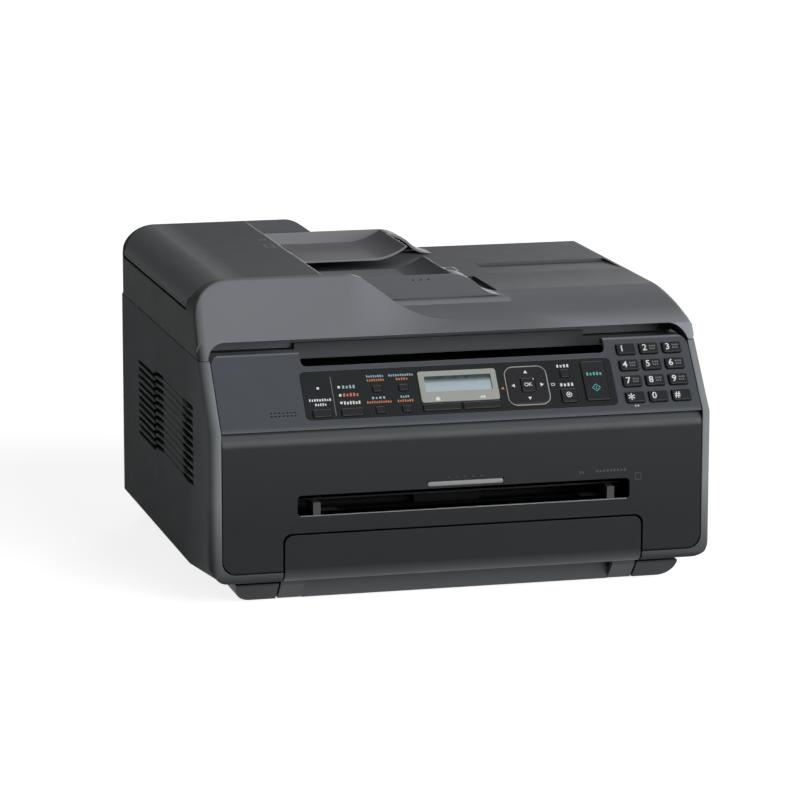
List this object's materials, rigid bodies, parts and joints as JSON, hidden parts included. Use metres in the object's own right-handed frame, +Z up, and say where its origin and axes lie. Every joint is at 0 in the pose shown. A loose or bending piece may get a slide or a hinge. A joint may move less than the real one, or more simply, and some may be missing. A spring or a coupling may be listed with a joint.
{
  "type": "fax machine",
  "caption": "Desktop laser fax with a flat-bed scanner under a hinged lid, a document feeder, a sloping key panel, a drop-down front door and a pull-out paper cassette.",
  "frame": {"origin": "on the floor under the middle of the machine", "axes": "+Z up, +Y towards the back, +X to the right as seen from the front"},
  "size_m": [0.378, 0.35, 0.231],
  "materials": {
    "dark_shell": "fine grain",
    "grey_shell": "fine grain",
    "black_gloss": "gloss",
    "black_matte": "matte",
    "key_plastic": "satin",
    "silver_trim": "satin",
    "lcd": "gloss",
    "white_pad": "soft foam",
    "clear_glass": "polished",
    "rubber_black": "matte",
    "steel": "brushed",
    "drum_coat": "gloss",
    "board_green": "solder mask"
  },
  "bodies": {
    "chassis": {"base_frame": "black_matte", "rubber_feet": "rubber_black", "left_panel": "dark_shell", "right_panel": "dark_shell", "rear_panel": "dark_shell", "rear_sockets": "black_matte", "output_tray": "black_matte", "scanner_bed": "black_matte", "scanner_glass": "clear_glass", "control_panel": "grey_shell", "panel_overlay": "black_gloss", "lcd_frame": "silver_trim", "lcd_screen": "lcd", "lid_hinges": "steel", "toner_cartridge": "black_matte", "laser_unit": "black_matte", "circuit_boards": "board_green"},
    "lid": {"document_cover": "grey_shell", "platen_pad": "white_pad"},
    "feeder": {"adf_cover": "grey_shell"},
    "adf_feed": {"adf_feed_roller": "rubber_black"},
    "adf_pickup": {"adf_pickup_roller": "rubber_black"},
    "guide_front": {"document_guide_front": "grey_shell"},
    "guide_rear": {"document_guide_rear": "grey_shell"},
    "front_door": {"front_cover": "dark_shell"},
    "manual_left": {"manual_guide_left": "black_matte"},
    "manual_right": {"manual_guide_right": "black_matte"},
    "cassette": {"paper_cassette": "dark_shell"},
    "lift": {"lift_plate": "steel"},
    "rear_door": {"rear_cover": "dark_shell"},
    "rocker": {"power_switch": "black_matte"},
    "carriage": {"scan_carriage": "black_matte"},
    "drum_body": {"drum": "drum_coat"},
    "pickup": {"pickup_roller": "rubber_black"},
    "fuser": {"fuser_roller": "drum_coat"},
    "nav": {"nav_key": "key_plastic"},
    "key_1_body": {"key_1": "key_plastic"},
    "key_2_body": {"key_2": "key_plastic"},
    "key_3_body": {"key_3": "key_plastic"},
    "key_4_body": {"key_4": "key_plastic"},
    "key_5_body": {"key_5": "key_plastic"},
    "key_6_body": {"key_6": "key_plastic"},
    "key_7_body": {"key_7": "key_plastic"},
    "key_8_body": {"key_8": "key_plastic"},
    "key_9_body": {"key_9": "key_plastic"},
    "key_star_body": {"key_star": "key_plastic"},
    "key_0_body": {"key_0": "key_plastic"},
    "key_hash_body": {"key_hash": "key_plastic"},
    "start_key_body": {"start_key": "key_plastic"},
    "stop_key_body": {"stop_key": "key_plastic"},
    "menu_key_body": {"menu_key": "key_plastic"},
    "soft_key_left_body": {"soft_key_left": "key_plastic"},
    "soft_key_right_body": {"soft_key_right": "key_plastic"},
    "auto_answer_key_body": {"auto_answer_key": "key_plastic"},
    "mode_key_body": {"mode_key": "key_plastic"},
    "quality_key_body": {"quality_key": "key_plastic"},
    "options_key_body": {"options_key": "key_plastic"},
    "format_key_body": {"format_key": "key_plastic"},
    "zoom_key_body": {"zoom_key": "key_plastic"},
    "ok_key_body": {"ok_key": "key_plastic"}
  },
  "joints": [
    {"name": "lid_hinge", "type": "hinge", "parent": "chassis", "child": "lid", "pos_m": [0, 0.17, 0.1812], "axis": [-1, 0, 0], "range_deg": [0, 70]},
    {"name": "feeder_hinge", "type": "hinge", "parent": "lid", "child": "feeder", "pos_m": [-0.1855, 0.034, 0.2098], "axis": [0, -1, 0], "range_deg": [0, 70]},
    {"name": "adf_feed_spin", "type": "hinge", "parent": "lid", "child": "adf_feed", "pos_m": [-0.14, 0.034, 0.202], "axis": [0, 1, 0], "continuous": true},
    {"name": "adf_pickup_spin", "type": "hinge", "parent": "feeder", "child": "adf_pickup", "pos_m": [-0.112, 0.04, 0.2165], "axis": [0, 1, 0], "continuous": true},
    {"name": "guide_front_slide", "type": "slide", "parent": "lid", "child": "guide_front", "axis": [0, 1, 0], "range_m": [0, 0.024]},
    {"name": "guide_rear_slide", "type": "slide", "parent": "lid", "child": "guide_rear", "axis": [0, -1, 0], "range_m": [0, 0.024]},
    {"name": "front_door_hinge", "type": "hinge", "parent": "chassis", "child": "front_door", "pos_m": [0, -0.1715, 0.037], "axis": [-1, 0, 0], "range_deg": [-85, 0]},
    {"name": "manual_left_slide", "type": "slide", "parent": "front_door", "child": "manual_left", "axis": [1, 0, 0], "range_m": [0, 0.05]},
    {"name": "manual_right_slide", "type": "slide", "parent": "front_door", "child": "manual_right", "axis": [-1, 0, 0], "range_m": [0, 0.05]},
    {"name": "cassette_slide", "type": "slide", "parent": "chassis", "child": "cassette", "axis": [0, -1, 0], "range_m": [0, 0.27]},
    {"name": "lift_hinge", "type": "hinge", "parent": "cassette", "child": "lift", "pos_m": [0, 0.055, 0.01], "axis": [-1, 0, 0], "range_deg": [0, 5.5]},
    {"name": "rear_door_hinge", "type": "hinge", "parent": "chassis", "child": "rear_door", "pos_m": [0, 0.172, 0.063], "axis": [-1, 0, 0], "range_deg": [0, 85]},
    {"name": "power_rocker", "type": "hinge", "parent": "chassis", "child": "rocker", "pos_m": [0.161, 0.167, 0.078], "axis": [1, 0, 0], "range_deg": [0, 10]},
    {"name": "scan_slide", "type": "slide", "parent": "chassis", "child": "carriage", "axis": [1, 0, 0], "range_m": [0, 0.3]},
    {"name": "drum_spin", "type": "hinge", "parent": "chassis", "child": "drum_body", "pos_m": [0, -0.008, 0.084], "axis": [1, 0, 0], "continuous": true},
    {"name": "pickup_spin", "type": "hinge", "parent": "chassis", "child": "pickup", "pos_m": [0, -0.112, 0.062], "axis": [1, 0, 0], "continuous": true},
    {"name": "fuser_spin", "type": "hinge", "parent": "chassis", "child": "fuser", "pos_m": [0, 0.112, 0.092], "axis": [1, 0, 0], "continuous": true},
    {"name": "nav_rock", "type": "hinge", "parent": "chassis", "child": "nav", "pos_m": [0.0514, -0.15356, 0.14854], "axis": [1, 0, 0], "range_deg": [-2.5, 2.5], "stiffness_Nm_per_rad": 0.4},
    {"name": "key_1_press", "type": "slide", "parent": "chassis", "child": "key_1_body", "axis": [0, 0.776, -0.6307], "range_m": [0, 0.001], "stiffness_N_per_m": 400, "springref_m": -0.0005},
    {"name": "key_2_press", "type": "slide", "parent": "chassis", "child": "key_2_body", "axis": [0, 0.776, -0.6307], "range_m": [0, 0.001], "stiffness_N_per_m": 400, "springref_m": -0.0005},
    {"name": "key_3_press", "type": "slide", "parent": "chassis", "child": "key_3_body", "axis": [0, 0.776, -0.6307], "range_m": [0, 0.001], "stiffness_N_per_m": 400, "springref_m": -0.0005},
    {"name": "key_4_press", "type": "slide", "parent": "chassis", "child": "key_4_body", "axis": [0, 0.776, -0.6307], "range_m": [0, 0.001], "stiffness_N_per_m": 400, "springref_m": -0.0005},
    {"name": "key_5_press", "type": "slide", "parent": "chassis", "child": "key_5_body", "axis": [0, 0.776, -0.6307], "range_m": [0, 0.001], "stiffness_N_per_m": 400, "springref_m": -0.0005},
    {"name": "key_6_press", "type": "slide", "parent": "chassis", "child": "key_6_body", "axis": [0, 0.776, -0.6307], "range_m": [0, 0.001], "stiffness_N_per_m": 400, "springref_m": -0.0005},
    {"name": "key_7_press", "type": "slide", "parent": "chassis", "child": "key_7_body", "axis": [0, 0.776, -0.6307], "range_m": [0, 0.001], "stiffness_N_per_m": 400, "springref_m": -0.0005},
    {"name": "key_8_press", "type": "slide", "parent": "chassis", "child": "key_8_body", "axis": [0, 0.776, -0.6307], "range_m": [0, 0.001], "stiffness_N_per_m": 400, "springref_m": -0.0005},
    {"name": "key_9_press", "type": "slide", "parent": "chassis", "child": "key_9_body", "axis": [0, 0.776, -0.6307], "range_m": [0, 0.001], "stiffness_N_per_m": 400, "springref_m": -0.0005},
    {"name": "key_star_press", "type": "slide", "parent": "chassis", "child": "key_star_body", "axis": [0, 0.776, -0.6307], "range_m": [0, 0.001], "stiffness_N_per_m": 400, "springref_m": -0.0005},
    {"name": "key_0_press", "type": "slide", "parent": "chassis", "child": "key_0_body", "axis": [0, 0.776, -0.6307], "range_m": [0, 0.001], "stiffness_N_per_m": 400, "springref_m": -0.0005},
    {"name": "key_hash_press", "type": "slide", "parent": "chassis", "child": "key_hash_body", "axis": [0, 0.776, -0.6307], "range_m": [0, 0.001], "stiffness_N_per_m": 400, "springref_m": -0.0005},
    {"name": "start_key_press", "type": "slide", "parent": "chassis", "child": "start_key_body", "axis": [0, 0.776, -0.6307], "range_m": [0, 0.001], "stiffness_N_per_m": 400, "springref_m": -0.0005},
    {"name": "stop_key_press", "type": "slide", "parent": "chassis", "child": "stop_key_body", "axis": [0, 0.776, -0.6307], "range_m": [0, 0.001], "stiffness_N_per_m": 400, "springref_m": -0.0005},
    {"name": "menu_key_press", "type": "slide", "parent": "chassis", "child": "menu_key_body", "axis": [0, 0.776, -0.6307], "range_m": [0, 0.001], "stiffness_N_per_m": 400, "springref_m": -0.0005},
    {"name": "soft_key_left_press", "type": "slide", "parent": "chassis", "child": "soft_key_left_body", "axis": [0, 0.776, -0.6307], "range_m": [0, 0.001], "stiffness_N_per_m": 400, "springref_m": -0.0005},
    {"name": "soft_key_right_press", "type": "slide", "parent": "chassis", "child": "soft_key_right_body", "axis": [0, 0.776, -0.6307], "range_m": [0, 0.001], "stiffness_N_per_m": 400, "springref_m": -0.0005},
    {"name": "auto_answer_key_press", "type": "slide", "parent": "chassis", "child": "auto_answer_key_body", "axis": [0, 0.776, -0.6307], "range_m": [0, 0.001], "stiffness_N_per_m": 400, "springref_m": -0.0005},
    {"name": "mode_key_press", "type": "slide", "parent": "chassis", "child": "mode_key_body", "axis": [0, 0.776, -0.6307], "range_m": [0, 0.001], "stiffness_N_per_m": 400, "springref_m": -0.0005},
    {"name": "quality_key_press", "type": "slide", "parent": "chassis", "child": "quality_key_body", "axis": [0, 0.776, -0.6307], "range_m": [0, 0.001], "stiffness_N_per_m": 400, "springref_m": -0.0005},
    {"name": "options_key_press", "type": "slide", "parent": "chassis", "child": "options_key_body", "axis": [0, 0.776, -0.6307], "range_m": [0, 0.001], "stiffness_N_per_m": 400, "springref_m": -0.0005},
    {"name": "format_key_press", "type": "slide", "parent": "chassis", "child": "format_key_body", "axis": [0, 0.776, -0.6307], "range_m": [0, 0.001], "stiffness_N_per_m": 400, "springref_m": -0.0005},
    {"name": "zoom_key_press", "type": "slide", "parent": "chassis", "child": "zoom_key_body", "axis": [0, 0.776, -0.6307], "range_m": [0, 0.001], "stiffness_N_per_m": 400, "springref_m": -0.0005},
    {"name": "ok_key_press", "type": "slide", "parent": "chassis", "child": "ok_key_body", "axis": [0, 0.776, -0.6307], "range_m": [0, 0.001], "stiffness_N_per_m": 400, "springref_m": -0.0005}
  ],
  "couplings": [
    {"joint": "adf_pickup_spin", "follows": "adf_feed_spin", "ratio": -1.2857},
    {"joint": "guide_rear_slide", "follows": "guide_front_slide", "ratio": 1},
    {"joint": "manual_right_slide", "follows": "manual_left_slide", "ratio": 1},
    {"joint": "pickup_spin", "follows": "drum_spin", "ratio": -1.25},
    {"joint": "fuser_spin", "follows": "drum_spin", "ratio": 1.25}
  ]
}
